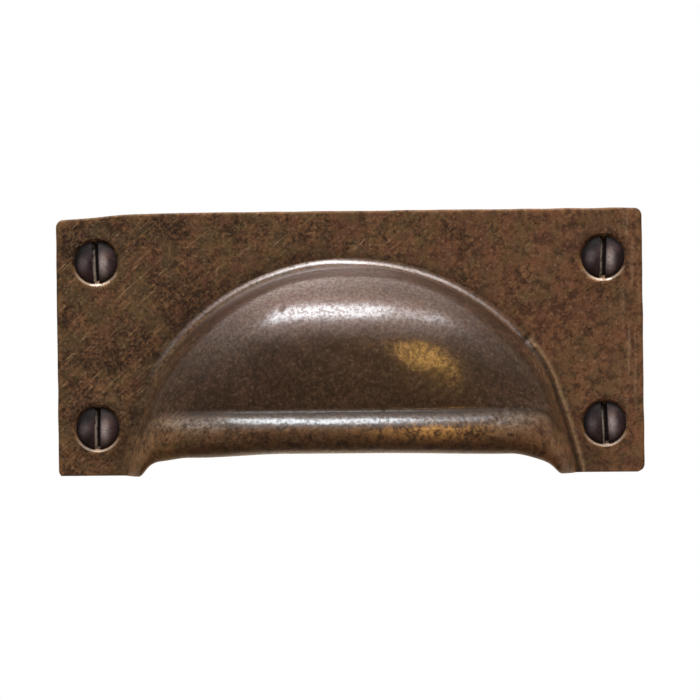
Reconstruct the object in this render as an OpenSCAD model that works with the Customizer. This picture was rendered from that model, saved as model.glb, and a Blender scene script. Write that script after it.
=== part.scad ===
// Cup pull: a hooded cup and its flanged plate cast in one piece, with four slotted wood screws.
// Millimetres, +Z up, the front faces -Y, origin at the centre of the plate's back face.

/* [Plate] */
// Width of the plate
plate_w = 92; // [90:0.5:120]
// Height of the plate
plate_h = 41.5; // [40:0.5:60]
// Thickness of the plate
plate_t = 2.6; // [2.3:0.1:3.5]
// Radius of the plate's corners
corner_r = 1.2; // [0.6:0.1:3]
// Bevel along the plate's front edges
edge_bevel = 0.5; // [0.2:0.1:1]

/* [Cup] */
// Width of plate left beside the cup's round outline, at each side
side_land = 10.3; // [9.5:0.1:12]
// Height of plate left above the cup
top_land = 8.7; // [7.5:0.1:10.5]
// Thickness of the cup's wall
wall = 3; // [2:0.1:3.5]
// Slope of the steep wall where it leaves the plate
wall_slope = 84; // [75:1:86]
// Straight rise of the wall before the shoulder turns
wall_rise = 1.5; // [0.5:0.1:3]
// Radius of the shoulder, seen from the side
shoulder_r = 15.4; // [12:0.1:17]
// Slope of the face just under the shoulder
brow_slope = 12; // [8:0.5:20]
// Slope of the face just above the lip
face_slope = 4; // [0:0.5:7]
// Squareness of the cup seen from above, 2 is a plain ellipse
plan_power = 2.7; // [2:0.1:3.5]
// Size of the hollow blend between the cup and the plate
blend = 1.2; // [0.6:0.1:1.6]

/* [Lip] */
// Height of the lip's underside above the plate's lower edge
lip_lift = 3.6; // [2:0.1:6]
// Radius of the rolled lip's belly
lip_r = 3.05; // [2.5:0.05:3.5]
// Radius of the lip's upper edge
brim_r = 6; // [4:0.5:8]
// Slope where the upper edge turns into the belly
brim_slope = 25; // [20:1:30]
// Radius of the hollow above the lip
flare_r = 0.7; // [0.5:0.1:1.5]
// Slope where the hollow turns into the lip
flare_slope = 50; // [45:1:60]
// Radius of the lip's inner edge
nose_r = 0.8; // [0.5:0.1:1.2]
// How late the lip turns down to the feet: a higher power keeps it straight for longer
fall_power = 17; // [8:1:24]
// How far inside the cup's round outline each foot is reached
foot_gap = 3.1; // [0.7:0.1:3.7]
// Height of the feet's underside above the plate's lower edge
foot_lift = 0.2; // [0.1:0.1:0.6]

/* [Screws] */
// Distance of a screw from the plate's side edge
screw_edge_x = 6.25; // [5.5:0.05:6.5]
// Distance of a screw from the plate's upper or lower edge
screw_edge_z = 7.75; // [5.75:0.25:9.75]
// Diameter of the screw's head
head_d = 6.8; // [6:0.1:7]
// Height of the head's dome over its rim
dome_h = 0.9; // [0.8:0.1:1.6]
// Depth of the head's rim below the face of the plate
head_sink = 0.35; // [0.1:0.05:0.5]
// Width of the slot
slot_w = 1; // [0.7:0.1:1.3]
// Depth of the slot below the top of the dome
slot_depth = 1.4; // [0.8:0.1:1.6]
// Diameter of the plain shank
shank_d = 3.5; // [3:0.1:3.8]
// Clearance around the shank in its hole
shank_gap = 0.25; // [0.1:0.05:0.4]
// Diameter of the core that carries the thread
core_d = 2.7; // [2:0.1:2.9]
// Length of the screw from its rim to its tip
screw_len = 16; // [14:0.5:25]
// Length of the tapered point
point_len = 4; // [3:0.5:6]

/* [Hidden] */
$fn = 64;
// radius, top and centre of the cup's round outline on the plate
cup_r = plate_w / 2 - side_land;
cup_top = plate_h - top_land;
cup_c = cup_top - cup_r;
// height at which the hollow above the lip begins
flare_top = lip_lift + lip_r * (1 + sin(brim_slope)) + brim_r * (sin(flare_slope) - sin(brim_slope))
    + flare_r * (sin(flare_slope) - sin(face_slope));
// how far the lip's underside comes in from the cup's outer side
lip_inset = lip_r / 2;
// half width at which the feet are reached, and the softness of the turn there
foot_out = cup_r - foot_gap;
fall_round = 1.5;
// heights between which that fall fades out
fall_low = lip_lift + lip_r;
fall_high = cup_top - shoulder_r * 0.8;
// step counts: across the cup, and along each length of its side profile
cols = 60;
wall_steps = 2;
shoulder_steps = 12;
face_steps = 4;
flare_steps = 2;
brim_steps = 5;
lip_steps = 7;
nose_steps = 3;
throat_steps = 3;
// how strongly the steps across the cup crowd towards the wall
crowding = 0.6;
head_r = head_d / 2;
sink_r = head_r + head_sink;
shank_r = shank_d / 2;
hole_r = shank_r + shank_gap;
core_r = core_d / 2;
// level of the head's rim, measured out from the wall
rim_level = plate_t - head_sink;
// radius of the sphere that gives the dome
dome_r = (head_r * head_r + dome_h * dome_h) / (2 * dome_h);
// overshoot of cutting tools
over = 1;

function last(list) = list[len(list) - 1];
function ease(t) = let (c = min(1, max(0, t))) c * c * (3 - 2 * c);

// side profile: [height, distance from the wall, slope, inset from the outer side]
// an arc turns from slope a to slope b, a negative radius makes it hollow
function arc(from, r, a, b, steps) = [
    for (i = [1:steps])
    let (s = a + (b - a) * i / steps)
    [from[0] - r * (sin(a) - sin(s)), from[1] + r * (cos(s) - cos(a)), s, 0]
];

wall_line = [
    for (i = [0:wall_steps])
    let (q = wall_rise * i / wall_steps)
    [cup_top - q / tan(wall_slope), plate_t + q, wall_slope, 0]
];
shoulder = arc(last(wall_line), shoulder_r, wall_slope, brow_slope, shoulder_steps);
face_r = (last(shoulder)[0] - flare_top) / (sin(brow_slope) - sin(face_slope));
face = arc(last(shoulder), face_r, brow_slope, face_slope, face_steps);
flare = arc(last(face), -flare_r, face_slope, flare_slope, flare_steps);
brim = arc(last(flare), brim_r, flare_slope, brim_slope, brim_steps);
roll = arc(last(brim), lip_r, brim_slope, -90, lip_steps);
nose = arc(last(roll), nose_r, -90, -180 + face_slope, nose_steps);

// the roll and the nose carry the profile round to the inside, which follows the outside a wall away
under = [
    for (p = roll)
    [p[0], p[1], p[2], p[2] < 0 ? lip_inset * (1 - cos(p[2])) : 0]
];
turn = [
    for (i = [0:nose_steps - 1])
    let (p = nose[i])
    [p[0], p[1], p[2], lip_inset + (wall - lip_inset) * (i + 1) / nose_steps]
];
outside = concat(wall_line, shoulder, face);
inside = [
    for (i = [len(outside) - 1:-2:0])
    let (p = outside[i])
    [p[0] - wall * sin(p[2]), p[1] - wall * cos(p[2]), p[2], wall]
];
throat = [
    for (i = [1:throat_steps - 1])
    let (f = i / throat_steps)
    last(turn) * (1 - f) + inside[0] * f
];
profile = concat(outside, flare, brim, under, turn, throat, inside);

// half width of the outline at a height, for a given inset
function half_width(h, inset) = sqrt(max(0, pow(cup_r - inset, 2) - pow(h - cup_c, 2)));

// plan of the cup: the steps crowd towards the wall, where it is steepest
function plan_angle(j) = let (t = j / cols) 180 * (t - crowding * sin(360 * t) / (2 * PI));
function plan_x(a) = sign(cos(a)) * pow(abs(cos(a)), 2 / plan_power);
function plan_out(a) = pow(abs(sin(a)), 2 / plan_power);

// fall of the lip to the feet, and the spread of the blend at a distance above the plate's face
function fall_share(u) = 1 - pow(1 - pow(min(1, u), fall_power), fall_round);
function fall(x, h) = (lip_lift - foot_lift) * fall_share(abs(x) / foot_out)
    * ease((fall_high - h) / (fall_high - fall_low));
function spread(p) = p > blend ? 0 : blend * pow(1 - p / blend, 2);

// share of the way from the lip's underside to the inside, and the inset: the lip's own share of it fades
// out towards the feet, which keep the cup's full width
function inward(p) = max(0, (p[3] - lip_inset) / (wall - lip_inset));
function inset(p, a) =
    let (own = min(p[3], lip_inset) * plan_out(a))
    own + (wall - own) * inward(p);

// one point of the skin, for a step of the profile and an angle round the plan
function skin(p, a) =
    let (
        x = -half_width(p[0], inset(p, a)) * plan_x(a),
        out = max(0, p[1] - plate_t) * plan_out(a),
        h = p[0] - fall(x, p[0]),
        d = spread(out) * (1 - inward(p)),
        rise = max(0, h - cup_c),
        reach = norm([x, rise])
    )
    [x + d * x / reach, h + d * rise / reach - plate_h / 2, plate_t + out];
function rooted(point) = [point[0], point[1], 0];

// a row of the skin runs from its root at the wall, over the cup, to its other root
function skin_row(p) = concat(
    [rooted(skin(p, 0))],
    [for (j = [0:cols]) skin(p, plan_angle(j))],
    [rooted(skin(p, 180))]
);

// the cup's closed skin: its first and last rows shrink to a point each, above its root
rows = len(profile);
ends = [skin(profile[0], 90), skin(profile[rows - 1], 90)];
skin_points = concat(
    [for (i = [1:rows - 2]) each skin_row(profile[i])],
    [ends[0], rooted(ends[0]), ends[1], rooted(ends[1])]
);
function at(i, j) =
    let (rim = j == 0 || j == cols + 2 ? 1 : 0, tail = len(skin_points) - 4)
    i == 0 ? tail + rim :
    i == rows - 1 ? tail + 2 + rim :
    (i - 1) * (cols + 3) + j;
function whole(f) = f[0] != f[1] && f[1] != f[2] && f[2] != f[0];
// the root's flat underside: one panel for each step of the inside, then the foot, on one edge of the skin
function root_panels(j) = concat(
    [
        for (k = [0:len(inside) - 2])
        [at(2 * k, j), at(2 * k + 1, j), at(2 * k + 2, j), at(rows - 2 - k, j), at(rows - 1 - k, j)]
    ],
    [[for (i = [len(outside) - 1:rows - len(inside)]) at(i, j)]]
);
function flip(f) = [for (i = [len(f) - 1:-1:0]) f[i]];
skin_faces = concat(
    [
        for (i = [0:rows - 2])
        for (j = [0:cols + 1])
        for (f = [[at(i, j), at(i + 1, j + 1), at(i + 1, j)], [at(i, j), at(i, j + 1), at(i + 1, j + 1)]])
        if (whole(f)) f
    ],
    root_panels(0),
    [for (f = root_panels(cols + 2)) flip(f)]
);

module hung() {
    rotate([90, 0, 0])
        children();
}

module at_screws() {
    for (x = [-1, 1])
        for (y = [-1, 1])
            translate([x * (plate_w / 2 - screw_edge_x), y * (plate_h / 2 - screw_edge_z), 0])
                children();
}

module plate_outline() {
    for (x = [-1, 1])
        for (y = [-1, 1])
            translate([x * (plate_w / 2 - corner_r), y * (plate_h / 2 - corner_r)])
                circle(corner_r);
    square([plate_w - 2 * corner_r, plate_h], center = true);
    square([plate_w, plate_h - 2 * corner_r], center = true);
}

module edge_cut(length) {
    rotate([45, 0, 0])
        cube([length, edge_bevel * sqrt(2), edge_bevel * sqrt(2)], center = true);
}

// clearance hole with a 90 degree countersink that ends flush with the plate's face
module screw_hole() {
    translate([0, 0, -over])
        cylinder(r = hole_r, h = plate_t + 2 * over);
    translate([0, 0, plate_t - sink_r + hole_r / 2])
        cylinder(r1 = hole_r / 2, r2 = sink_r + over, h = sink_r + over - hole_r / 2);
}

// flat plate, cut away behind the cup so that its edge ends inside the cup's wall
module plate() {
    difference() {
        linear_extrude(plate_t)
            difference() {
                plate_outline();
                translate([0, cup_c - plate_h / 2])
                    circle(cup_r - wall / 2, $fn = 128);
            }
        for (y = [-1, 1])
            translate([0, y * plate_h / 2, plate_t])
                edge_cut(plate_w + over);
        for (x = [-1, 1])
            translate([x * plate_w / 2, 0, plate_t])
                rotate([0, 0, 90])
                    edge_cut(plate_h + over);
        at_screws()
            screw_hole();
    }
}

module cup() {
    polyhedron(skin_points, skin_faces, convexity = 6);
}

module casting() {
    color([0.33, 0.24, 0.17])
        hung() {
            plate();
            cup();
        }
}

// half profile of a raised countersunk screw, its axis along the second coordinate
module screw_profile() {
    polygon([
        [0, rim_level - screw_len],
        [core_r / 8, rim_level - screw_len],
        [core_r, rim_level - screw_len + point_len],
        [core_r, 0],
        [shank_r, 0],
        [shank_r, rim_level - head_r + shank_r],
        [head_r, rim_level],
        [0, rim_level]
    ]);
    intersection() {
        translate([0, rim_level + dome_h - dome_r])
            circle(dome_r);
        translate([0, rim_level])
            square([head_r, dome_h]);
    }
}

module wood_screw() {
    difference() {
        rotate_extrude()
            screw_profile();
        translate([-slot_w / 2, -head_r - over, rim_level + dome_h - slot_depth])
            cube([slot_w, head_d + 2 * over, slot_depth + over]);
    }
}

module wood_screws() {
    color([0.28, 0.22, 0.2])
        hung()
            at_screws()
                wood_screw();
}

casting();
wood_screws();
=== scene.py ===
# Looks of a cast cup pull: the hooded casting with its plate, and four slotted wood screws
import math
from types import SimpleNamespace

import bpy
import numpy as np
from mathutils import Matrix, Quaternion, Vector


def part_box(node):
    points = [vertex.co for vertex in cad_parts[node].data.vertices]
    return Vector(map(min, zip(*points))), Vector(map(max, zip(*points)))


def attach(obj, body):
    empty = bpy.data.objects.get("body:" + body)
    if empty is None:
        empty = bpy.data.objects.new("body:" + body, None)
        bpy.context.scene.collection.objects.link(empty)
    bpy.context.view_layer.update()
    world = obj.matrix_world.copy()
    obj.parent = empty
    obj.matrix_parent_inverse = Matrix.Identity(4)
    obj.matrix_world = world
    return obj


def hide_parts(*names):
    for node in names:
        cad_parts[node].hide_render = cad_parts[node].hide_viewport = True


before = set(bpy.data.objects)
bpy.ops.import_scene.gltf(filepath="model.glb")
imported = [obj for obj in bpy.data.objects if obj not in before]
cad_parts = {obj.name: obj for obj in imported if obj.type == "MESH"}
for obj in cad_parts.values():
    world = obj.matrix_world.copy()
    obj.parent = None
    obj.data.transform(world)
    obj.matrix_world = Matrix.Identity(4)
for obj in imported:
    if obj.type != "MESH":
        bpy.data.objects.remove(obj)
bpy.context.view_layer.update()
mm = 0.001
tiny = 1e-9
slack = 1e-6


# smooth step from 0 to 1 as x goes from a to b
def ease(a, b, x):
    t = np.clip((x - a) / (b - a), 0, 1)
    return t * t * (3 - 2 * t)


# bell of height 1 around 0, one width across
def bell(x, width):
    return np.exp(-((x / width) ** 2))


# soft spot of height 1: a bell across times a bell up, the spot given as x, h and its reach in both
def softSpot(x, h, spot):
    return bell(x - spot[0], spot[2]) * bell(h - spot[1], spot[3])


# hand-made unevenness: a sum of sine waves in seeded directions, mostly between -1 and 1
def uneven(points, wave, seed, count=10):
    rng = np.random.default_rng(seed)
    way = rng.normal(size=(count, points.shape[-1]))
    way /= np.linalg.norm(way, axis=1, keepdims=True)
    way *= 2 * np.pi / (wave * rng.uniform(0.7, 1.6, (count, 1)))
    return np.sin(points @ way.T + rng.uniform(0, 2 * np.pi, count)).sum(-1) / math.sqrt(count)


# width and height of the plate in mm, from the frame
def plateSize():
    low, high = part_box("casting")
    return (high.x - low.x) / mm, (high.z - low.z) / mm


# points in mm (width, height over the plate's lower edge, distance from the wall) to the frame in metres
def toFrame(x, h, out, plateHigh):
    return np.stack([x, -out, h - plateHigh / 2], -1) * mm


# quads between neighbouring loops of a grid of point numbers, each loop closed on itself
def loopQuads(spot):
    ahead = np.roll(spot, -1, 1)
    return np.stack([spot[:-1], spot[1:], ahead[1:], ahead[:-1]], -1).reshape(-1, 4).tolist()


# an end loop filled with triangles between its two halves, from step 0 to a fold: the steps of both halves
# are merged in order of width, and each closes a triangle with the last step of the other half
def zipEnd(ring, wide, fold):
    ahead = np.arange(fold + 1)
    behind = -np.arange(len(ring) - fold + 1) % len(ring)
    reached = [np.maximum.accumulate(wide[half])[1:] for half in (ahead, behind)]
    isAhead = np.argsort(np.concatenate(reached), kind="stable") < fold
    a, b = np.cumsum(isAhead), np.cumsum(~isAhead)
    corners = np.stack([ahead[a - isAhead], np.where(isAhead, ahead[a], behind[b]), behind[b - ~isAhead]], 1)
    return ring[corners[(corners != np.roll(corners, 1, 1)).all(1)]]


# closed skin from a stack of closed loops (loop, step, xyz): quads between loops, each end one face or zipped
def loopSkin(name, grid, facts, sharp, fold=None):
    loops, steps = grid.shape[:2]
    spot = np.arange(loops * steps).reshape(loops, steps)
    ends = [spot[0].tolist(), spot[-1, ::-1].tolist()]
    if fold:
        wide = np.abs(grid[..., 0])
        ends = zipEnd(spot[0], wide[0], fold).tolist() + zipEnd(spot[-1], wide[-1], fold)[:, ::-1].tolist()
    mesh = bpy.data.meshes.new(name)
    mesh.from_pydata(grid.reshape(-1, 3), [], loopQuads(spot) + ends)
    for key, value in facts.items():
        mesh.attributes.new(key, "FLOAT", "POINT").data.foreach_set("value", value.astype(np.float32).ravel())
    mesh.polygons.foreach_set("use_smooth", np.ones(len(mesh.polygons), bool))
    mesh.set_sharp_from_angle(angle=math.radians(sharp))
    made = bpy.data.objects.new(name, mesh)
    bpy.context.scene.collection.objects.link(made)
    print("made", name, "with", len(mesh.polygons), "faces")
    return made


casting = {  # mm and degrees, heights from the plate's lower edge, pairs are from and to
    "plateThick": 2.6, "sideLand": 10.3, "topLand": 8.7, "corner": 1.2, "edge": 0.4, "backEdge": 0.25,
    "margin": 0.02, "sharp": 32,
    # side profile of the cup, and the power of its plan
    "wall": 3.0, "wallSlope": 84, "wallRise": 1.5, "shoulder": 15.4, "browSlope": 12, "faceSlope": 4,
    "lipLift": 3.6, "lip": 3.05, "brim": 6.0, "brimSlope": 25, "flare": 0.7, "flareSlope": 50, "nose": 0.8,
    "planPower": 2.7, "blend": 1.2, "blendPower": 2.2, "blendFade": 5,
    # fall of the lip to the feet, and its sag towards them
    "fallPower": 36, "fallRound": 4, "gapLeft": 2.4, "gapRight": 2.85, "fallTop": 0.8,
    "sagLeft": 0.55, "sagLeftAt": (10, 24), "tailLeft": 0.48, "tailLeftAt": (25, 29.5),
    "sagRight": 0.3, "sagRightAt": (4, 24), "tailRight": 1.15, "tailRightAt": (24.5, 31),
    "sagHeight": (1.6, 0.6), "sagStand": (0.5, 2),
    # plate out of true: droop of its top and upper left corner, rise of its lower left
    "topDroop": 0.05, "cornerDroop": 0.95, "cornerReach": 9, "droopAt": (0.2, 1), "footRise": 0.32,
    "riseAt": (0.4, 0), "tuckLeast": 0.02,
    # screw holes
    "screwX": 6.25, "screwZ": 7.75, "sink": 3.75, "sinkDeep": 2.1, "sinkSnap": 0.22,
    "bore": 2.0, "boreDeep": 0.4, "boreSlope": 3, "boreSnap": 0.25,
    # grid: the fan's focus, its loops and rows and where they crowd, and the steps of the side profile
    "focus": 31.0, "columns": 340, "skinRows": 140, "plateRows": 56, "edgeRows": 8, "heelRows": 4,
    "backRows": 14, "rootRows": 4, "innerRows": 26, "noseRows": 7,
    "crowdAt": 42.5, "crowdWide": 6, "crowdBy": 1.1, "fanSteps": 4000, "fanReach": 2.5, "halvings": 48,
    "innerCrowd": 1.6, "footCrowd": 1.2, "footCrowdWide": 0.08,
    "wallSteps": 6, "shoulderSteps": 80, "turnSteps": 30, "rollSteps": 120, "noseSteps": 8,
    # uneven outline, slow waves (length, seed, share) and grain of the metal
    "uneven": 0.08, "unevenReach": 1.5, "unevenWave": 7, "unevenSeed": 11,
    "wave": 0.06, "waveRest": 1.2, "waveLeast": 0.6, "waves": ((16, 3, 0.5), (6, 5, 0.3)),
    "calmOut": (0.2, 1.2), "calmHole": (0.2, 2),
    "grain": 0.008, "grainRest": 2, "grainWave": 1.0, "grainSeed": 21, "grainCount": 24,
    # thin ridge along the right foot of the cup
    "ridge": 0.22, "ridgeTop": (23.0, 19.0), "ridgeUp": 0.16, "ridgeOut": 0.42,
    # flaws: x, h, length, width, depth, turn of the length from level
    "flaws": (
        (27.5, 20.8, 0.9, 0.5, 0.45, 55), (28.8, 19.7, 0.4, 0.4, -0.2, 0),
        (23.4, 9.0, 0.8, 0.45, 0.22, 20), (22.3, 8.3, 0.5, 0.4, 0.15, 80),
        (-10.6, 26.3, 1.0, 0.25, 0.15, 78), (-25.0, 25.5, 2.0, 0.3, 0.08, 40),
        (-36.0, 24.0, 3.2, 0.3, 0.07, 48), (-41.5, 22.5, 2.4, 0.28, 0.06, 52),
        (30.5, 29.0, 1.3, 0.3, 0.08, -35),
    ),
}


wear = {  # mm, pairs are from and to, spots are x, h and their reach in both
    # the cup's upper part, and its sides by distance from the middle; stand is the height over the plate
    "upper": (12, 24), "sides": (10, 27), "sideDull": 0.65,
    # painted highlight along the rim of the cup, nearer to the plate on the left, and a paler painted sheen
    # on the wall beside it
    "lineStand": 0.1, "lineClimb": 0.35, "lineClimbAt": (-8, 4), "lineWide": 0.18, "lineLeft": (5, 18),
    "rimRight": 0.2, "rimRightAt": (-4, 10), "rimSides": 0.75, "rimWall": 0.24,
    "wallFrom": (0.3, 0.9), "wallTo": (7.5, 4.5), "wallRight": (14, 0), "wallLeft": (-26, -14),
    # shoulder: less coat and less painted sheen on the upper right, painted sheen in the middle
    "dullAcross": (-6, 8), "dullHeight": (17, 22), "dullStand": (12.5, 10),
    "dullSheen": 0.85, "dullPolish": 0.5,
    "sheenFrom": (0.5, 1.2), "sheenTo": (8, 3), "sheenSides": (8, 27), "paintedUpperSheen": (18, 27),
    # rubbed dark face of the cup, paler on the lip's belly and at its ends
    "darkWall": (0.9, 2.8), "darkFace": (3, 9), "darkInside": 0.2, "belly": (1.5, 1.2), "bellyPale": 0.4,
    "endPaleLeft": 0.7, "endPaleRight": 0.4, "endSides": (23, 29), "endHeight": (13, 7),
    # the lip's left end: more coat, and a painted sheen in the pale ash colour
    "footPolish": 0.4, "footWide": 0.2, "leftEnd": (-23.5, 8.3, 6.5, 1.0), "leftPolish": 0.9, "leftPaintedSheen": 1.3,
    # darkening: dirt and painted shade in the creases, darker along the flare over the brim, painted shade
    # beside the ridge, dirt on the back, dirt and painted shade in the hollow
    "creaseUp": 1.1, "creaseLeft": 2.4, "creaseRight": 1.0, "creaseFoot": 2.6, "creaseFootAt": (14, 6),
    "grooveWide": 0.55, "grooveStand": (1.0, 4.0), "backDirt": 0.25, "hollowDirtAndShade": 0.7, "flawDirt": 3,
    "ridgeShade": 0.8, "ridgeShadeAt": 0.45, "ridgeShadeWide": 0.25,
    # countersinks: painted shade on the plate above each, a painted lit crescent on the cone below
    "ringWide": 0.9, "ringShade": (-0.6, 0.9), "ringLight": (0.2, -0.7), "ringLitShare": 1.5,
    "ringPolish": 0.9, "ringMargin": 0.01,
    # worn edges and ends, a pale ash spot, a painted golden reflection on the lip, file marks along the right
    # edge
    "edgeWorn": 0.35, "endWorn": 0.5, "endWornSides": (24, 31), "endWornHeight": (12, 4),
    "endWornRight": (34, 32), "bellyWorn": 0.2, "ash": (24.5, 8.5, 4.5, 2.2), "paintedWarmReflection": (13, 6.9, 8, 1.2),
    "filedAt": 43.8, "filedWide": 1.3, "filedCut": (0.1, 0.9), "filedDrawn": 0.06, "filedWave": 0.7,
    "filedSeed": 31, "filedHeight": (6, 14), "filedShow": 0.6,
}


# centres of the four screws on the plate: left upper, left lower, right upper, right lower
def screwCentres(c, plateWide, plateHigh):
    x, h = plateWide / 2 - c["screwX"], plateHigh / 2 - c["screwZ"]
    return [(cx * x, plateHigh / 2 + cz * h) for cx in (-1, 1) for cz in (1, -1)]


# side profile: turn from slope a to slope b on a radius, a negative radius makes it hollow
def turn(start, radius, a, b, steps):
    slope = np.radians(np.linspace(a, b, steps + 1)[1:])
    first = math.radians(a)
    h = start[0] - radius * (math.sin(first) - np.sin(slope))
    q = start[1] + radius * (np.cos(slope) - math.cos(first))
    return np.stack([h, q, slope], 1)


# side profiles from the lip up: the outer as rows of height, distance from the wall and slope, the inner
# without the slope; with them the height at which the flare meets the brim
def sideProfiles(c, cupTop):
    sin = lambda degrees: math.sin(math.radians(degrees))
    steep = math.radians(c["wallSlope"])
    flareTop = c["lipLift"] + c["lip"] * (1 + sin(c["brimSlope"]))
    flareTop += c["brim"] * (sin(c["flareSlope"]) - sin(c["brimSlope"]))
    flareTop += c["flare"] * (sin(c["flareSlope"]) - sin(c["faceSlope"]))
    rise = np.linspace(0, c["wallRise"], c["wallSteps"])
    wall = np.stack([cupTop - rise / math.tan(steep), c["plateThick"] + rise, np.full(len(rise), steep)], 1)
    shoulder = turn(wall[-1], c["shoulder"], c["wallSlope"], c["browSlope"], c["shoulderSteps"])
    faceRadius = (shoulder[-1, 0] - flareTop) / (sin(c["browSlope"]) - sin(c["faceSlope"]))
    face = turn(shoulder[-1], faceRadius, c["browSlope"], c["faceSlope"], c["turnSteps"])
    flare = turn(face[-1], -c["flare"], c["faceSlope"], c["flareSlope"], c["turnSteps"])
    brim = turn(flare[-1], c["brim"], c["flareSlope"], c["brimSlope"], c["turnSteps"])
    roll = turn(brim[-1], c["lip"], c["brimSlope"], -90, c["rollSteps"])
    outer = np.concatenate([wall, shoulder, face, flare, brim, roll])[::-1]
    nose = turn(roll[-1], c["nose"], -90, c["faceSlope"] - 180, c["noseSteps"])
    body = np.concatenate([wall, shoulder, face])[::-1]
    sunk = body[:, :2] - c["wall"] * np.stack([np.sin(body[:, 2]), np.cos(body[:, 2])], 1)
    inner = np.concatenate([nose[-1:, :2], sunk])
    return outer, inner, flare[-1, 0]


# form of the casting: each loop leaves the lip, climbs the cup, crosses the plate, turns round its edge to
# the back, and comes down the inside of the cup; loops fan out from the lip as confocal curves
def castingForm(c, w):
    plateWide, plateHigh = plateSize()
    cupR = plateWide / 2 - c["sideLand"]
    cupTop = plateHigh - c["topLand"]
    cupMid = cupTop - cupR
    thick, lift, focus, power = c["plateThick"], c["lipLift"], c["focus"], c["planPower"]
    outer, inner, flareLow = sideProfiles(c, cupTop)
    noseTop = inner[0, 0]
    lipInset = c["lip"] / 2

    # columns crowd at the upper screws, and run from left to right so that the faces point outwards
    t = np.linspace(0, np.pi, c["fanSteps"])
    angles = np.degrees(t)
    crowd = 1 + c["crowdBy"] * bell(angles - c["crowdAt"], c["crowdWide"])
    crowd = crowd + c["crowdBy"] * bell(angles - (180 - c["crowdAt"]), c["crowdWide"])
    crowd = np.concatenate([[0], np.cumsum((crowd[1:] + crowd[:-1]) / 2)])
    nu = np.interp(np.linspace(crowd[-1], 0, c["columns"]), crowd, t)[:, None]

    # confocal curves over the lip: width is focus cosh m cos n, height is focus sinh m sin n
    def fan(m, base):
        return focus * np.cosh(m) * np.cos(nu), base + focus * np.sinh(m) * np.sin(nu)

    # where each curve meets a circle round the cup's middle, found by halving
    def reach(radius, base):
        a, b = np.zeros_like(nu), np.full_like(nu, c["fanReach"])
        for _ in range(c["halvings"]):
            m = (a + b) / 2
            x, h = fan(m, base)
            inside = np.hypot(x, h - cupMid) < radius
            a, b = np.where(inside, m, a), np.where(inside, b, m)
        return (a + b) / 2

    # depth of a skin over the plate: the side profile times a superellipse across its width
    def depth(x, h, radius, profile):
        wide = np.sqrt(np.maximum(radius ** 2 - (h - cupMid) ** 2, tiny))
        across = np.clip(1 - np.abs(x / wide) ** power, 0, 1) ** (1 / power)
        return np.maximum(np.interp(h, profile[:, 0], profile[:, 1]) - thick, 0) * across, across

    # outer skin, its rows crowded at the lip and at the steep wall
    t = np.linspace(0, 1, c["skinRows"])[None]
    share = t ** 2 / (t ** 2 + (1 - t) ** power)
    x, h = fan(reach(cupR, lift) * share, lift)
    out, across = depth(x, h, cupR, outer)
    slope = np.interp(h, outer[:, 0], outer[:, 2])
    inset = np.where(slope < 0, lipInset * (1 - np.cos(slope)), 0) * across
    x = x * (1 - inset / cupR)
    near = 1 - np.clip(out / c["blend"], 0, 1)
    spread = c["blend"] * near ** c["blendPower"]
    away = np.hypot(x, h - cupMid)
    spreadUp = spread * (h - cupMid) / away * ease(lift, lift + c["blendFade"], h)
    skin = [x + spread * x / away, h + spreadUp, thick + out]
    skinH = h

    # edge of the plate: the curves' ends on the rectangle, its upper corners turned on a radius
    half = plateWide / 2 - c["margin"]
    top = plateHigh - c["margin"]
    m = np.minimum(np.arccosh(np.maximum(half / (focus * np.maximum(np.abs(np.cos(nu)), slack)), 1)),
                   np.arcsinh((top - lift) / (focus * np.maximum(np.sin(nu), slack))))
    ex, eh = fan(m, lift)
    side = np.where(np.abs(ex) > half - slack, np.sign(ex), 0)
    turnX = np.abs(ex) - (half - c["corner"])
    turnH = eh - (top - c["corner"])
    atCorner = (turnX > 0) & (turnH > 0)
    bend = np.maximum(np.hypot(turnX, turnH), tiny)
    nx = np.where(atCorner, np.sign(ex) * turnX / bend, side)
    nh = np.where(atCorner, turnH / bend, np.where(side == 0, 1, 0))
    ex = np.where(atCorner, np.sign(ex) * (half - c["corner"]) + c["corner"] * nx, ex)
    eh = np.where(atCorner, top - c["corner"] + c["corner"] * nh, eh)

    # face of the plate, from the foot of the blend to the start of the rounded edge
    t = np.linspace(0, 1, c["plateRows"] + 1)[None, 1:]
    start = reach(cupR, lift)
    fx, fh = fan(start + (m - start) * t, lift)
    sx, sh = fan(start, lift)
    mx, mh = fan(m, lift)
    fx += (1 - t) * (skin[0][:, -1:] - sx) + t * (ex - c["edge"] * nx - mx)
    fh += (1 - t) * (skin[1][:, -1:] - sh) + t * (eh - c["edge"] * nh - mh)
    face = [fx, fh, np.full_like(fx, thick)]

    # rounded front edge, side and small back edge
    a = np.radians(np.linspace(90, 0, c["edgeRows"]))[None, 1:]
    b = np.radians(np.linspace(0, 90, c["heelRows"]))[None]
    pull = np.concatenate([c["edge"] * (1 - np.cos(a)), c["backEdge"] * (1 - np.cos(b))], 1)
    level = np.concatenate([thick - c["edge"] * (1 - np.sin(a)), c["backEdge"] * (1 - np.sin(b))], 1)
    edge = [ex - pull * nx, eh - pull * nh, np.broadcast_to(level, (len(nu), level.shape[1]))]

    # inside of the cup, from its outline at the back down to the lip
    t = np.linspace(1, 0, c["innerRows"])[None]
    share = t ** c["innerCrowd"] / (t ** c["innerCrowd"] + (1 - t) ** power)
    innerR = cupR - c["wall"]
    ix, ih = fan(reach(innerR, noseTop) * share, noseTop)
    hollow = [ix, ih, thick + depth(ix, ih, innerR, inner)[0]]

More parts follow.
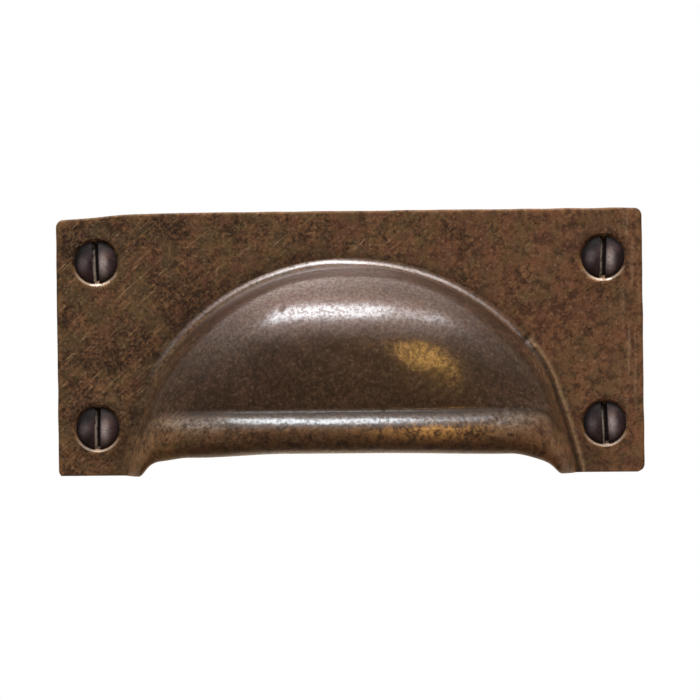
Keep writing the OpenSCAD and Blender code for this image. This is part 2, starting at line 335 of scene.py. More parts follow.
    # back of the plate, its rows crowded at the feet, and the straight root of the hollow
    crowdFeet = 1 + c["footCrowd"] * bell(np.sin(nu), c["footCrowdWide"])
    t = 1 - (1 - np.linspace(0, 1, c["backRows"])[None, 1:]) ** crowdFeet
    bx = (1 - t) * edge[0][:, -1:] + t * ix[:, :1]
    bh = (1 - t) * edge[1][:, -1:] + t * ih[:, :1]
    back = [bx, bh, np.zeros_like(bx)]
    t = np.linspace(0, 1, c["rootRows"])[None, 1:-1]
    root = [ix[:, :1] + 0 * t, ih[:, :1] + 0 * t, thick * t + 0 * nu]

    # nose of the lip: quarter of an ellipse from the inside to the roll
    a = np.radians(np.linspace(90, 0, c["noseRows"]))[None, 1:-1]
    nose = [x[:, :1] + (ix[:, -1:] - x[:, :1]) * np.sin(a),
            lift + (noseTop - lift) * (1 - np.cos(a)) + 0 * nu,
            skin[2][:, :1] + (hollow[2][:, -1:] - skin[2][:, :1]) * np.sin(a)]

    strips = [skin, face, edge, back, root, hollow, nose]
    x, h, out = (np.concatenate([s[k] for s in strips], 1) for k in range(3))
    ends = np.cumsum([s[0].shape[1] for s in strips])
    isFace = np.zeros(x.shape, bool)
    isFace[:, ends[0]:ends[1]] = True
    isBack = np.zeros(x.shape, bool)
    isBack[:, ends[2]:ends[3]] = True

    # the lip sags and falls to the feet
    footOut = cupR - np.where(x < 0, c["gapLeft"], c["gapRight"])
    fall = lift * (1 - (1 - np.minimum(np.abs(x) / footOut, 1) ** c["fallPower"]) ** c["fallRound"])
    sagLeft = c["sagLeft"] * ease(*c["sagLeftAt"], -x) + c["tailLeft"] * ease(*c["tailLeftAt"], -x)
    sagRight = c["sagRight"] * ease(*c["sagRightAt"], x) + c["tailRight"] * ease(*c["tailRightAt"], x)
    sag = np.where(x < 0, sagLeft, sagRight) * (1 - fall / lift)
    sagFrom, sagTo = (lift + share * c["lip"] for share in c["sagHeight"])
    h = h - fall * ease(cupTop - c["fallTop"] * c["shoulder"], lift + c["lip"], h)
    h = h - sag * ease(sagFrom, sagTo, h) * ease(*c["sagStand"], out)

    # the plate's top droops and its lower edge rises towards the left, its lower corners are turned
    left = 0.5 - x / plateWide
    droop = c["topDroop"] * left + c["cornerDroop"] * bell(x + half, c["cornerReach"])
    h = h - ease(*c["droopAt"], h / plateHigh) * droop
    h = h + ease(*c["riseAt"], h / plateHigh) * c["footRise"] * left
    beside = np.maximum(np.abs(x) - (half - c["corner"]), 0)
    tuck = np.sqrt(np.clip(1 - (1 - h / c["corner"]) ** 2, c["tuckLeast"], 1))
    tuck = np.where(h < c["corner"], tuck, 1)
    x = x - np.sign(x) * beside * (1 - tuck)

    # countersinks and bores: points near a rim are drawn onto it, those inside go down a cone
    hole = np.full(x.shape, plateWide)
    shade = np.zeros(x.shape)
    paintedLitCrescent = np.zeros(x.shape)
    for px, ph in screwCentres(c, plateWide, plateHigh):
        dx, dh = x - px, h - ph
        r = np.maximum(np.hypot(dx, dh), tiny)
        for where, rim, snapReach in ((isFace, c["sink"], c["sinkSnap"]), (isBack, c["bore"], c["boreSnap"])):
            snap = where & (np.abs(r - rim) < snapReach)
            x = np.where(snap, px + dx / r * rim, x)
            h = np.where(snap, ph + dh / r * rim, h)
            r = np.where(snap, rim, r)
        hole = np.minimum(hole, r)
        # painted shade above each countersink and a painted lit crescent on its lower cone, kept for the
        # finish
        ringed = bell(r - c["sink"], w["ringWide"])
        shade = np.maximum(shade, ringed * ease(*w["ringShade"], dh / r))
        paintedLitCrescent = np.maximum(paintedLitCrescent, ringed * ease(*w["ringLight"], dh / r))
    out = np.where(isFace, thick - np.clip(c["sink"] - hole, 0, c["sinkDeep"]), out)
    out = np.where(isBack, np.clip((c["bore"] - hole) * c["boreSlope"], 0, c["boreDeep"]), out)

    # the plate's outline is a little uneven, always inwards
    nibble = uneven(np.stack([x, h], -1), c["unevenWave"], c["unevenSeed"])
    nibble = c["uneven"] * np.clip(0.5 + 0.5 * nibble, 0, 1)
    x = x - np.sign(x) * nibble * ease(half - c["unevenReach"], half, np.abs(x))
    h = h - nibble * ease(top - c["unevenReach"], top, h)

    # slow waves and grain of the hand-finished metal, gone at the back and at the screws
    place = np.stack([x, h, out], -1)
    calmFrom, calmTo = (c["sink"] + more for more in c["calmHole"])
    calm = ease(calmFrom, calmTo, hole) * ease(*c["calmOut"], out)
    wave = c["waveRest"]
    for length, seed, share in c["waves"]:
        wave = wave + uneven(place, length, seed) * share
    grain = c["grainRest"] + uneven(place, c["grainWave"], c["grainSeed"], c["grainCount"])
    out = out - c["wave"] * calm * np.maximum(wave, c["waveLeast"]) - c["grain"] * calm * grain

    # flaws: long dents with soft sides, pressed into the front
    front = np.zeros(x.shape)
    front[:, :ends[1]] = 1
    dirt = np.zeros(x.shape)
    for flawX, flawH, length, width, deep, slant in c["flaws"]:
        ca, sa = math.cos(math.radians(slant)), math.sin(math.radians(slant))
        dx, dh = x - flawX, h - flawH
        dent = front * bell(dx * ca + dh * sa, length) * bell(dh * ca - dx * sa, width)
        out = out - deep * dent
        dirt = np.maximum(dirt, dent * np.clip(deep * w["flawDirt"], 0, 1))

    # thin ridge left along the right foot of the cup
    foot = np.zeros(x.shape)
    beyond = np.hypot(fx - skin[0][:, -1:], fh - skin[1][:, -1:])
    foot[:, :ends[0]] = bell(spread - c["blend"], c["ridgeUp"])
    foot[:, ends[0]:ends[1]] = bell(beyond, c["ridgeOut"])
    ridge = foot * ease(*c["ridgeTop"], h) * (x > 0)
    out = out + c["ridge"] * ridge

    return SimpleNamespace(
        x=x, h=h, out=out, plateHigh=plateHigh, ends=ends, isFace=isFace, front=front, cupX=skin[0],
        skinH=skinH, stand=skin[2] - thick, spread=spread, faceX=fx, faceH=fh, beyond=beyond,
        flareLow=flareLow, hole=hole, shade=shade, paintedLitCrescent=paintedLitCrescent, dirt=dirt, ridge=ridge)


# facts for the finish, each from 0 to about 1 on every point of the casting: products of soft steps and bells
def castingFacts(c, w, form):
    x, h, ends, stand = form.x, form.h, form.ends, form.stand
    cup, plate = np.s_[:, :ends[0]], np.s_[:, ends[0]:ends[1]]
    cupX, cupH, faceH = form.cupX, h[cup], form.faceH
    aside = np.abs(cupX)
    upper = ease(*w["upper"], cupH)
    bellyFrom, bellyTo = (c["lipLift"] + c["lip"] * share for share in w["belly"])
    belly = ease(bellyFrom, bellyTo, form.skinH)
    polish, dark, paintedShoulderSheen, rim, creaseDirtAndShade, grooveDirtAndShade, worn = (np.zeros(x.shape) for _ in range(7))

    # rim, wall and shoulder of the cup: painted highlight along the rim, painted sheen on the wall beside it
    # and on the shoulder
    overLine = stand - w["lineStand"] - w["lineClimb"] * ease(*w["lineClimbAt"], cupX)
    line = bell(overLine, w["lineWide"]) * np.where(cupX < 0, ease(*w["lineLeft"], cupH), upper)
    wall = ease(*w["wallFrom"], stand) * ease(*w["wallTo"], stand) * upper
    wall = wall * ease(*w["wallRight"], cupX) * ease(*w["wallLeft"], cupX)
    dull = ease(*w["dullAcross"], cupX) * ease(*w["dullHeight"], form.skinH) * ease(*w["dullStand"], stand)
    rimFade = 1 - w["rimRight"] * ease(*w["rimRightAt"], cupX)
    rimFade = rimFade * (1 - w["rimSides"] * ease(*w["sides"], aside))
    rim[cup] = np.maximum(line * upper * rimFade, w["rimWall"] * wall)
    paintedShoulderSheen[cup] = ease(*w["sheenFrom"], stand) * ease(*w["sheenTo"], stand) * upper
    paintedShoulderSheen[cup] *= (1 - ease(*w["sheenSides"], aside)) * (1 - w["dullSheen"] * dull)

    # rubbed dark face, and where it shines
    dark[cup] = ease(*w["darkFace"], stand) * (1 - w["bellyPale"] * belly)
    dark[cup] = np.maximum(ease(*w["darkWall"], stand) * upper, dark[cup])
    endPale = np.where(cupX < 0, w["endPaleLeft"], w["endPaleRight"])
    dark[cup] *= 1 - endPale * ease(*w["endSides"], aside) * ease(*w["endHeight"], cupH)
    dark[:, ends[4]:] = w["darkInside"]
    inward = 1 - w["sideDull"] * ease(*w["sides"], aside)
    polish[cup] = np.maximum(line, dark[cup] * inward * (1 - w["dullPolish"] * dull))
    polish[plate] = w["footPolish"] * bell(form.beyond, w["footWide"]) * ease(*w["upper"], faceH)
    dark = np.maximum(dark, polish)
    leftEnd = form.front * softSpot(x, h, w["leftEnd"])
    polish = np.maximum(polish, w["leftPolish"] * leftEnd)
    # on the upper shoulder the colour is lightened as a painted sheen, and the metal raised
    paintedUpperSheen = polish * ease(*w["paintedUpperSheen"], h)
    ring = form.isFace & (form.hole < c["sink"] + w["ringMargin"])
    polish = np.where(ring, w["ringPolish"], polish)

    # darkening: dirt and painted shade in the creases and above the countersinks, darker along the flare over
    # the brim, dirt on the back, dirt and painted shade in the hollow, painted shade beside the ridge
    creaseOut = w["creaseRight"] + w["creaseFoot"] * ease(*w["creaseFootAt"], faceH)
    creaseDirtAndShade[cup] = bell(stand, w["creaseUp"])
    creaseDirtAndShade[plate] = bell(form.beyond, np.where(form.faceX < 0, w["creaseLeft"], creaseOut))
    creaseDirtAndShade = np.maximum(creaseDirtAndShade, form.shade * form.isFace)
    grooveDirtAndShade[cup] = bell(form.skinH - form.flareLow, w["grooveWide"]) * ease(*w["grooveStand"], stand)
    grooveDirtAndShade = np.maximum(grooveDirtAndShade, form.dirt)
    grooveDirtAndShade[:, ends[2]:ends[4]] = w["backDirt"]
    grooveDirtAndShade[:, ends[4]:ends[5]] = w["hollowDirtAndShade"]
    besideRidge = bell(form.spread - w["ridgeShadeAt"] * c["blend"], w["ridgeShadeWide"] * c["blend"])
    besideRidge = besideRidge * ease(*c["ridgeTop"], cupH) * (cupX > 0)
    grooveDirtAndShade[cup] = np.maximum(grooveDirtAndShade[cup], w["ridgeShade"] * besideRidge)

    # wear, with the countersinks' painted lit crescents in it, spots with painted sheen and a painted warm
    # reflection, and file marks; the edge counts as worn from its last rows on the face to the side
    worn[:, ends[1] - 2:ends[2] - c["heelRows"]] = w["edgeWorn"]
    endWorn = ease(*w["endWornSides"], aside) * ease(*w["endWornHeight"], cupH)
    endWorn = endWorn * ease(*w["endWornRight"], cupX)
    worn[cup] = w["endWorn"] * endWorn + w["bellyWorn"] * belly
    worn = np.maximum(np.maximum(worn, form.ridge), ring * form.paintedLitCrescent * w["ringLitShare"])
    ash = form.front * softSpot(x, h, w["ash"]) + w["leftPaintedSheen"] * leftEnd
    paintedWarmReflection = form.front * softSpot(x, h, w["paintedWarmReflection"])
    filed = uneven(np.stack([x, h * w["filedDrawn"]], -1), w["filedWave"], w["filedSeed"])
    filed = form.isFace * bell(x - w["filedAt"], w["filedWide"]) * ease(*w["filedCut"], filed)
    filed = filed * ease(*w["filedHeight"], h)
    ridge = np.maximum(form.ridge, w["filedShow"] * filed)
    return {"polish": polish, "creaseDirtAndShade": creaseDirtAndShade, "worn": worn, "grooveDirtAndShade": grooveDirtAndShade, "ash": ash, "paintedWarmReflection": paintedWarmReflection,
            "ridge": ridge, "paintedUpperSheen": paintedUpperSheen, "dark": dark, "paintedShoulderSheen": paintedShoulderSheen, "rim": rim}


# the casting as one closed skin, its end loops folded at the side of the plate
def castingSkin(c, w):
    form = castingForm(c, w)
    grid = toFrame(form.x, form.h, form.out, form.plateHigh)
    return loopSkin("castPull", grid, castingFacts(c, w, form), c["sharp"], form.ends[1] + c["edgeRows"] - 2)


screws = {  # mm and degrees, pairs are from and to, spots are x, y and their reach in both
    "head": 3.4, "sink": 0.35, "dome": 0.9, "rim": 0.1, "domeEdge": 0.06, "axis": 0.02, "sharp": 30,
    "slotWide": 1.0, "slotDeep": 1.4, "slotSnap": 0.09, "burrHigh": 0.75, "slotFrom": -0.06, "burrTo": -0.1,
    "shank": 1.75, "shankStep": 0.05, "core": 1.35, "coreTop": -0.2, "length": 16.0, "point": 4.0,
    "tip": 0.03, "pitch": 1.6, "thread": 0.38, "threadTop": (-0.3, -1.8), "threadFlank": 0.3,
    "threadRound": 1.3,
    "turns": (2, -1, -2, 3), "sides": 96, "domeRows": 44, "coneRows": 6, "coreRows": 110,
    # painted shade on the upper left of each head and round its rim, painted sheen beside the slot
    "shadeUp": (0.1, 0.8), "shadeLean": 0.5, "shadeRim": 0.8,
    "sheenRight": (1.1, -0.5, 0.7, 1.5), "sheenLeft": (-2, 0, 0.7, 1.2), "sheenLeftShare": 0.3,
}


# one slotted screw: a profile of radius against distance along the axis, revolved, with the slot pressed into
# the dome and the thread raised on the core as a helix
def screwSkin(c, casting, angle):
    rimLevel = casting["plateThick"] - c["sink"]
    domeR = (c["head"] ** 2 + c["dome"] ** 2) / (2 * c["dome"])
    tip = rimLevel - c["length"]
    r = np.linspace(c["axis"], c["head"] - c["domeEdge"], c["domeRows"])
    level = rimLevel + c["dome"] - domeR + np.sqrt(domeR ** 2 - r ** 2)
    r = np.append(r, [c["head"], c["head"]])
    level = np.append(level, [rimLevel, rimLevel - c["rim"]])
    cone = np.linspace(c["head"] - c["rim"], c["shank"], c["coneRows"])
    r = np.append(r, cone)
    level = np.append(level, rimLevel - c["head"] + cone)
    r = np.append(r, [c["shank"], c["core"]])
    level = np.append(level, [c["shankStep"], -c["shankStep"]])
    along = np.linspace(c["coreTop"], tip, c["coreRows"])
    r = np.append(r, c["core"] * np.clip((along - tip) / c["point"], c["tip"], 1))
    level = np.append(level, along)

    turnBy = np.linspace(0, 2 * np.pi, c["sides"], endpoint=False)[None]
    r, level = r[:, None], level[:, None] + 0 * turnBy
    helix = (level / c["pitch"] - turnBy / (2 * np.pi)) % 1
    ridge = np.clip(1 - np.abs(helix - 0.5) / c["threadFlank"], 0, 1) ** c["threadRound"]
    ridge *= ease(*c["threadTop"], level) * ease(tip, tip + c["point"], level)
    radius = r + c["thread"] * ridge
    x, y = radius * np.cos(turnBy), radius * np.sin(turnBy)

    # slot: points near its sides are drawn onto them, those between go down to its floor
    onHead = level > rimLevel - c["rim"] / 2
    slotHalf = c["slotWide"] / 2
    x = np.where(onHead & (np.abs(np.abs(x) - slotHalf) < c["slotSnap"]), np.sign(x) * slotHalf, x)
    # the left side of the slot is burred into a slope
    floor = rimLevel + c["dome"] - c["slotDeep"]
    inSlot = onHead & (np.abs(x) < slotHalf - slack)
    burr = np.clip(-x / slotHalf, 0, 1) * inSlot
    level = np.where(inSlot, np.minimum(level, floor + (level - floor) * c["burrHigh"] * burr), level)
    # painted shade on the upper left of the head and round its rim, and a painted sheen beside the slot
    paintedShade = ease(*c["shadeUp"], (y - c["shadeLean"] * x) / c["head"])
    paintedSheen = softSpot(x, y, c["sheenRight"]) + c["sheenLeftShare"] * softSpot(x, y, c["sheenLeft"])
    facts = {"slot": inSlot * (x > c["slotFrom"]) * 1.0, "burr": inSlot * (x < c["burrTo"]) * 1.0,
             "paintedShade": paintedShade + ease(c["head"] - c["shadeRim"], c["head"], radius), "paintedSheen": onHead * paintedSheen}
    turned = math.radians(angle)
    x, y = x * math.cos(turned) - y * math.sin(turned), x * math.sin(turned) + y * math.cos(turned)
    return np.stack([x, y, level], -1), facts


# the four screws, each a closed stack of loops
def screwSet(c, casting):
    plateWide, plateHigh = plateSize()
    made = []
    for k, (px, ph) in enumerate(screwCentres(casting, plateWide, plateHigh)):
        skin, facts = screwSkin(c, casting, c["turns"][k])
        grid = toFrame(skin[..., 0] + px, skin[..., 1] + ph, skin[..., 2], plateHigh)
        made.append(loopSkin("screw%d" % k, grid, facts, c["sharp"]))
    return made


# a socket that takes part in arithmetic: each operator adds a Math node
class Wire:
    def __init__(self, finish, socket):
        self.finish, self.socket = finish, socket

    def math(self, operation, a, b):
        return self.finish.node("Math", {"operation": operation}, {0: a, 1: b})

    def __add__(self, other):
        return self.math("ADD", self, other)

    def __sub__(self, other):
        return self.math("SUBTRACT", self, other)

    def __rsub__(self, other):
        return self.math("SUBTRACT", other, self)

    def __mul__(self, other):
        return self.math("MULTIPLY", self, other)

    __radd__ = __add__
    __rmul__ = __mul__


# a node tree under construction, of a material or of the world
class Finish:
    def __init__(self, owner, place="Object"):
        self.owner = owner
        owner.use_nodes = True
        self.tree = owner.node_tree
        self.tree.nodes.clear()
        self.place = self.node("TexCoord", output=place)

    # any node: its type, its settings, then the values or links of its sockets
    def node(self, kind, settings=None, sockets=None, output=0):
        made = self.tree.nodes.new("ShaderNode" + kind)
        for key, value in (settings or {}).items():
            setattr(made, key, value)
        for key, value in (sockets or {}).items():
            if isinstance(value, Wire):
                self.tree.links.new(value.socket, made.inputs[key])
            else:
                made.inputs[key].default_value = value
        return Wire(self, made.outputs[output])

    def noise(self, scale, detail=3, rough=0.55, place=None, warp=0, output=0):
        sockets = {"Vector": place or self.place, "Scale": scale, "Detail": detail, "Roughness": rough,
                   "Distortion": warp}
        return self.node("TexNoise", {}, sockets, output)

    # value stretched so that a goes to low and b to high, with soft ends
    def between(self, value, a, b, low=0.0, high=1.0):
        sockets = {"Value": value, "From Min": a, "From Max": b, "To Min": low, "To Max": high}
        return self.node("MapRange", {"interpolation_type": "SMOOTHSTEP"}, sockets)

    def mix(self, share, a, b):
        colour = lambda value: value if isinstance(value, Wire) else (*value, 1)
        return self.node("Mix", {"data_type": "RGBA"}, {0: share, 6: colour(a), 7: colour(b)}, output=2)

    def parts(self, kind, value, names):
        return (self.node(kind, {}, {0: value}, output=name) for name in names)

    def fact(self, name):
        return self.node("Attribute", {"attribute_name": name}, output="Fac")

    def bump(self, height, strength, distance, below=None):
        sockets = {"Height": height, "Strength": strength, "Distance": distance}
        if below:
            sockets["Normal"] = below
        return self.node("Bump", {}, sockets)

    def close(self, sockets):
        shader = self.node("BsdfPrincipled", {}, sockets, output="BSDF")
        return self.end("OutputMaterial", shader)

    def end(self, kind, shader):
        made = self.tree.nodes.new("ShaderNode" + kind)
        self.tree.links.new(shader.socket, made.inputs["Surface"])
        return self.owner


patina = {  # linear colours, scales in cycles per metre, lengths in metres
    "umber": (0.030, 0.016, 0.010), "brown": (0.195, 0.100, 0.048), "rust": (0.138, 0.058, 0.034),
    "olive": (0.088, 0.065, 0.030), "ochre": (0.270, 0.150, 0.062), "soot": (0.014, 0.009, 0.006),
    "tan": (0.340, 0.235, 0.140), "paintedShoulderSheen": (0.120, 0.082, 0.070), "ash": (0.210, 0.165, 0.125),
    "paintedWarmReflection": (0.420, 0.220, 0.065), "rubbed": (0.022, 0.0115, 0.0060), "rosy": (0.052, 0.027, 0.019),
    # bare: chiefly the countersinks' painted lit crescents; rim: the painted highlight along the cup's rim
    # and the painted sheen on its wall
    "bare": (0.40, 0.33, 0.275), "rim": (0.40, 0.35, 0.335),
    "fine": 1900, "middle": 700, "broad": 150, "speck": 2000, "hue": 270, "swell": 320,
    "streak": 2400, "streakTurn": 42, "streakLong": 11,
    "swellDeep": 0.0003, "grainDeep": 0.00008, "specular": 0.12, "coatRough": 0.2,
}


# browned cast bronze: fine mottled browns with rust, olive and ochre, dull on the plate and rubbed dark on
# the cup; painted light and shade across the plate, and painted highlights, sheen, reflection and shade on
# the cup
def patinatedCasting(p):
    f = Finish(bpy.data.materials.new("patinatedCasting"))
    polish, creaseDirtAndShade, worn, grooveDirtAndShade = f.fact("polish"), f.fact("creaseDirtAndShade"), f.fact("worn"), f.fact("grooveDirtAndShade")
    paintedUpperSheen, dark = f.fact("paintedUpperSheen"), f.fact("dark")
    fine = f.noise(p["fine"], 4, 0.7)
    middle = f.noise(p["middle"], 4, 0.65, warp=0.5)
    broad = f.noise(p["broad"], 3, 0.6, warp=0.5)
    speck = f.noise(p["speck"], 2, 0.6)
    turned = (0, -math.radians(p["streakTurn"]), 0)
    drawn = f.node("Mapping", {"vector_type": "TEXTURE"},
                   {"Vector": f.place, "Rotation": turned, "Scale": (p["streakLong"], 1, 1)})
    streak = f.noise(p["streak"], 3, 0.6, place=drawn)
    side, tall = f.parts("SeparateXYZ", f.place, "XZ")
    redder, greener = f.parts("SeparateColor", f.noise(p["hue"], 4, 0.6, output="Color"), ("Red", "Green"))

    # mottled plate: browns, then rust, olive, pale specks and scratches, dark patches and pits
    scratch = f.between(streak, 0.58, 0.72) * f.between(broad - side * 3, 0.46, 0.6)
    tone = fine * 1.2 + (middle - 0.5) * 0.9 + (streak - 0.5) * 0.6 + (broad - 0.5) * 0.5
    # the plate lighter towards the right and darker towards the top: painted light and painted shade
    tone = tone + side * 1.8 - tall * 3 - 0.1
    colour = f.mix(f.between(tone, 0.18, 0.87), p["umber"], p["brown"])
    colour = f.mix(f.between(redder + side * 3, 0.44, 0.62) * 0.5, colour, p["rust"])
    colour = f.mix(f.between(greener + (broad - 0.5) * 0.4, 0.44, 0.62) * 0.45, colour, p["olive"])
    colour = f.mix(f.between(speck, 0.55, 0.72) * 0.35 + scratch * 0.5, colour, p["tan"])
    colour = f.mix(f.between(middle - side * 2, 0.46, 0.3) * 0.5, colour, p["umber"])
    colour = f.mix(f.between(fine, 0.43, 0.28) * 0.7, colour, p["soot"])

    # rubbed cup, lighter at random and, as a painted sheen, on its upper shoulder
    shade = f.mix(f.between(middle, 0.45, 0.7) * 0.4 + paintedUpperSheen, p["rubbed"], p["rosy"])
    cover = f.between(fine, 0.35, 0.75, 0.98, 0.74) * f.between(speck, 0.54, 0.68, 1, 0.9)
    colour = f.mix(dark * cover, colour, shade)
    # painted sheen on the shoulder, in a lighter pinkish brown
    colour = f.mix(f.fact("paintedShoulderSheen") * f.between(fine, 0.3, 0.6, 0.5, 0.9), colour, p["paintedShoulderSheen"])

    # worn places and spots with painted light in them, dirt and painted shade, the rim's painted highlight,
    # and the ridge paler by wear and a painted highlight
    colour = f.mix(worn * f.between(middle, 0.3, 0.6) * 0.55, colour, p["ochre"])
    colour = f.mix(f.between(worn, 0.9, 1.6) * 0.55, colour, p["bare"])
    # a pale ash spot on the right of the lip, and the painted sheen at its left end
    colour = f.mix(f.fact("ash") * f.between(fine + middle, 0.8, 1.25) * 0.55, colour, p["ash"])
    # painted reflection of the warm lamp on the lip, in gold
    colour = f.mix(f.fact("paintedWarmReflection") * f.between(fine + middle, 0.85, 1.2) * 0.8, colour, p["paintedWarmReflection"])
    # soot: dirt and painted shade in the creases, the hollow and beside the ridge, darker along the flare,
    # dirt on the back and in the dents
    colour = f.mix(creaseDirtAndShade * (1 - polish) * 0.45 + grooveDirtAndShade * 0.6, colour, p["soot"])
    # the rim's painted highlight and the wall's painted sheen, in a pale colour
    colour = f.mix(f.fact("rim") * f.between(fine, 0.3, 0.6, 0.22, 0.85), colour, p["rim"])
    # the ridge in tan, worn and painted as a highlight, and the file marks in tan
    colour = f.mix(f.fact("ridge") * f.between(fine, 0.25, 0.55) * 0.6, colour, p["tan"])

    rough = f.between(fine, 0.3, 0.7, 0.52, 0.68) - polish * 0.16
    metal = 0.1 + paintedUpperSheen * 0.4 + worn * 0.3
    shine = polish * f.between(speck, 0.36, 0.58, 0.4, 1.0) * (1 - grooveDirtAndShade)
    relief = f.bump(f.noise(p["swell"], 3, 0.6), 0.14, p["swellDeep"])
    relief = f.bump(fine + streak * 0.4, 0.3, p["grainDeep"], relief)
    return f.close({"Base Color": colour, "Roughness": rough, "Metallic": metal, "Normal": relief,
                    "Specular IOR Level": p["specular"], "Coat Weight": shine,
                    "Coat Roughness": p["coatRough"]})


oldSteel = {  # linear colours, scales in cycles per metre, lengths in metres
    "dark": (0.019, 0.0105, 0.0135), "plum": (0.053, 0.031, 0.035), "dustAndShade": (0.006, 0.004, 0.004),
    "bare": (0.65, 0.59, 0.52), "rubbed": (0.42, 0.375, 0.395),
    "cloud": 420, "grain": 2600, "ragged": 900, "grainDeep": 0.00008, "metal": 0.35, "specular": 0.25,
}


# browned screw steel: plum-brown, satin, with painted shade on the upper left and round the rim, dust and
# painted shade in the slot, a painted sheen beside it, and bare steel with a painted highlight along the
# burred side
def brownedScrews(p):
    f = Finish(bpy.data.materials.new("brownedScrews"))
    cloud = f.noise(p["cloud"], 4, 0.6)
    grain = f.noise(p["grain"], 2, 0.6)
    paintedShade = f.fact("paintedShade")
    colour = f.mix(f.between(cloud, 0.35, 0.65), p["dark"], p["plum"])
    colour = f.mix(f.between(grain, 0.45, 0.3) * 0.4, colour, p["dustAndShade"])
    # painted sheen beside the slot, in a pale lilac grey
    colour = f.mix(f.fact("paintedSheen") * f.between(grain, 0.2, 0.55, 0.4, 1), colour, p["rubbed"])
    # bare steel along the burred side of the slot, lightened further as a painted highlight
    colour = f.mix(f.fact("burr") * f.between(f.noise(p["ragged"], 3), 0.34, 0.5), colour, p["bare"])
    # dust and painted shade darken the slot
    colour = f.mix(f.fact("slot") * 0.9, colour, p["dustAndShade"])
    # painted shade on the upper left of the head and round its rim
    colour = f.mix(paintedShade * 0.85, colour, p["dustAndShade"])
    rough = f.between(grain, 0.3, 0.7, 0.34, 0.5) + paintedShade * 0.25
    relief = f.bump(grain, 0.3, p["grainDeep"])
    return f.close({"Base Color": colour, "Roughness": rough, "Metallic": p["metal"],
                    "Specular IOR Level": p["specular"], "Normal": relief})


def place(piece, node, slot, material):
    piece.data.materials.append(material)
    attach(piece, "root")
    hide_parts(node)


cast = castingSkin(casting, wear)
place(cast, "casting", "patinated_casting", patinatedCasting(patina))
browned = brownedScrews(oldSteel)
for screw in screwSet(screws, casting):
    place(screw, "wood_screws", "browned_screws", browned)
print("pieces dressed")


stage = {  # lengths in metres, the mottle in cycles per metre
    "floorDrop": 0.75, "floorWide": 1.6, "pale": (0.86, 0.86, 0.85), "shade": 0.97, "rough": 0.8, "mottle": 6,
    "rings": 12, "sides": 96, "innermost": 0.001, "growth": 1.5,
}


# pale round floor well below the pull: rings of growing radius
def paleFloor(c):
    ring = np.linspace(c["innermost"], 1, c["rings"])[:, None] ** c["growth"] * c["floorWide"]
    a = np.linspace(0, 2 * np.pi, c["sides"], endpoint=False)[None]
    grid = np.stack([ring * np.cos(a), ring * np.sin(a), -c["floorDrop"] + 0 * ring * a], -1)
    spot = np.arange(c["rings"] * c["sides"]).reshape(c["rings"], c["sides"])
    mesh = bpy.data.meshes.new("floor")
    mesh.from_pydata(grid.reshape(-1, 3), [], loopQuads(spot) + [spot[0].tolist()])
    floor = bpy.data.objects.new("floor", mesh)
    bpy.context.scene.collection.objects.link(floor)
    f = Finish(bpy.data.materials.new("paleFloor"))
    tone = f.mix(f.noise(c["mottle"], 2), c["pale"], [v * c["shade"] for v in c["pale"]])
    mesh.materials.append(f.close({"Base Color": tone, "Roughness": c["rough"]}))
    floor.visible_glossy = False
    floor.visible_diffuse = False


# soft panel light, aimed at the pull and rolled about its aim
def softPanel(name, wide, tall, at, power, colour, shape, roll):
    lamp = bpy.data.lights.new(name, "AREA")
    lamp.shape, lamp.size, lamp.size_y = shape, wide, tall
    lamp.energy, lamp.color = power, colour
    made = bpy.data.objects.new(name, lamp)
    made.location = at
    aim = (-Vector(at)).to_track_quat("-Z", "Y") @ Quaternion((0, 0, 1), math.radians(roll))
    made.rotation_euler = aim.to_euler()
    bpy.context.scene.collection.objects.link(made)


walls = {  # strengths, the direction's share over which each comes in, and the colours below and above
    "front": 0.07, "below": 0.28, "belowAt": (0.0, -0.6), "high": 1.8, "highAt": (0.4, 0.75), "top": 2.2,
    "topAt": (0.75, 1.0), "right": 0.14, "rightAt": (0.35, 0.9), "left": 0.13, "leftAt": (-0.35, -0.9),
    "back": 1.5, "backAt": (0.1, 0.6), "tintAt": (0.3, 0.8),
    "lowTint": (1, 0.82, 0.64), "highTint": (1, 0.9, 0.86),
}


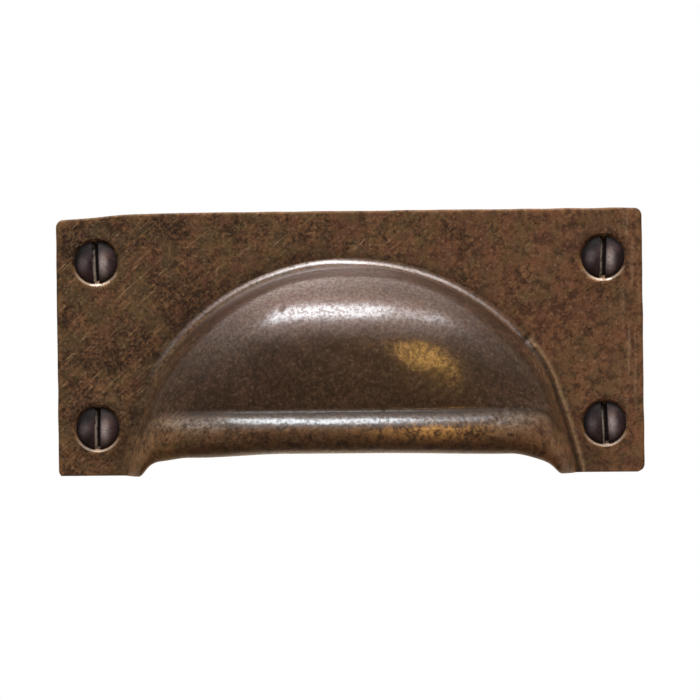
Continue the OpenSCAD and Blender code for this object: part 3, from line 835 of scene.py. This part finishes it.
# studio walls: dark behind the camera, light overhead, paler at the sides and the back; the backdrop is white
def studio(c):
    world = bpy.data.worlds.new("studio")
    f = Finish(world, "Generated")
    x, y, z = f.parts("SeparateXYZ", f.place, "XYZ")
    tone = f.between(z, *c["belowAt"], c["front"], c["below"])
    tone = tone + f.between(z, *c["highAt"], 0, c["high"])
    tone = tone + f.between(z, *c["topAt"], 0, c["top"] - c["high"])
    tone = tone + f.between(x, *c["rightAt"], 0, c["right"])
    tone = tone + f.between(x, *c["leftAt"], 0, c["left"])
    tone = tone + f.between(y, *c["backAt"], 0, c["back"])
    tint = f.mix(f.between(z, *c["tintAt"]), c["lowTint"], c["highTint"])
    room = f.node("Background", {}, {"Color": tint, "Strength": tone})
    white = f.node("Background", {}, {"Color": (1, 1, 1, 1)})
    seen = f.node("LightPath", output="Is Camera Ray")
    bpy.context.scene.world = f.end("OutputWorld", f.node("MixShader", {}, {0: seen, 1: room, 2: white}))


camera = {"away": 0.65, "pxPerMm": 6.38, "middle": (350.4, 342.5), "roll": 0.65, "image": 700, "sensor": 36,
          "clip": (0.02, 20)}


# straight-on telephoto view: the plate's centre sits at a pixel, the face of the plate at a scale
def takeView(c):
    data = bpy.data.cameras.new("camera")
    made = bpy.data.objects.new("camera", data)
    data.sensor_width = c["sensor"]
    data.lens = c["pxPerMm"] / mm * c["away"] * c["sensor"] / c["image"]
    data.clip_start, data.clip_end = c["clip"]
    right = (c["middle"][0] - c["image"] / 2) / c["pxPerMm"] * mm
    down = (c["middle"][1] - c["image"] / 2) / c["pxPerMm"] * mm
    made.location = (-right, -c["away"] - casting["plateThick"] * mm, down)
    made.rotation_euler = (math.radians(90), math.radians(c["roll"]), 0)
    bpy.context.scene.collection.objects.link(made)
    bpy.context.scene.camera = made


panels = {  # metres and watts: width, height, place, power, colour, shape, roll
    "overhead": (0.50, 0.29, (-0.12, -0.41, 0.92), 10.5, (0.86, 0.94, 1.0), "RECTANGLE", 0),
    "overheadRight": (0.40, 0.18, (0.36, -0.385, 0.93), 2.0, (0.90, 0.96, 1.0), "RECTANGLE", 0),
    "warmLamp": (0.38, 0.02, (0.30, -0.92, 0.42), 1.55, (1, 0.53, 0.12), "ELLIPSE", -4),
}

paleFloor(stage)
studio(walls)
for name, settings in panels.items():
    softPanel(name, *settings)
bpy.context.scene.view_settings.view_transform = "Standard"
takeView(camera)
print("stage set")
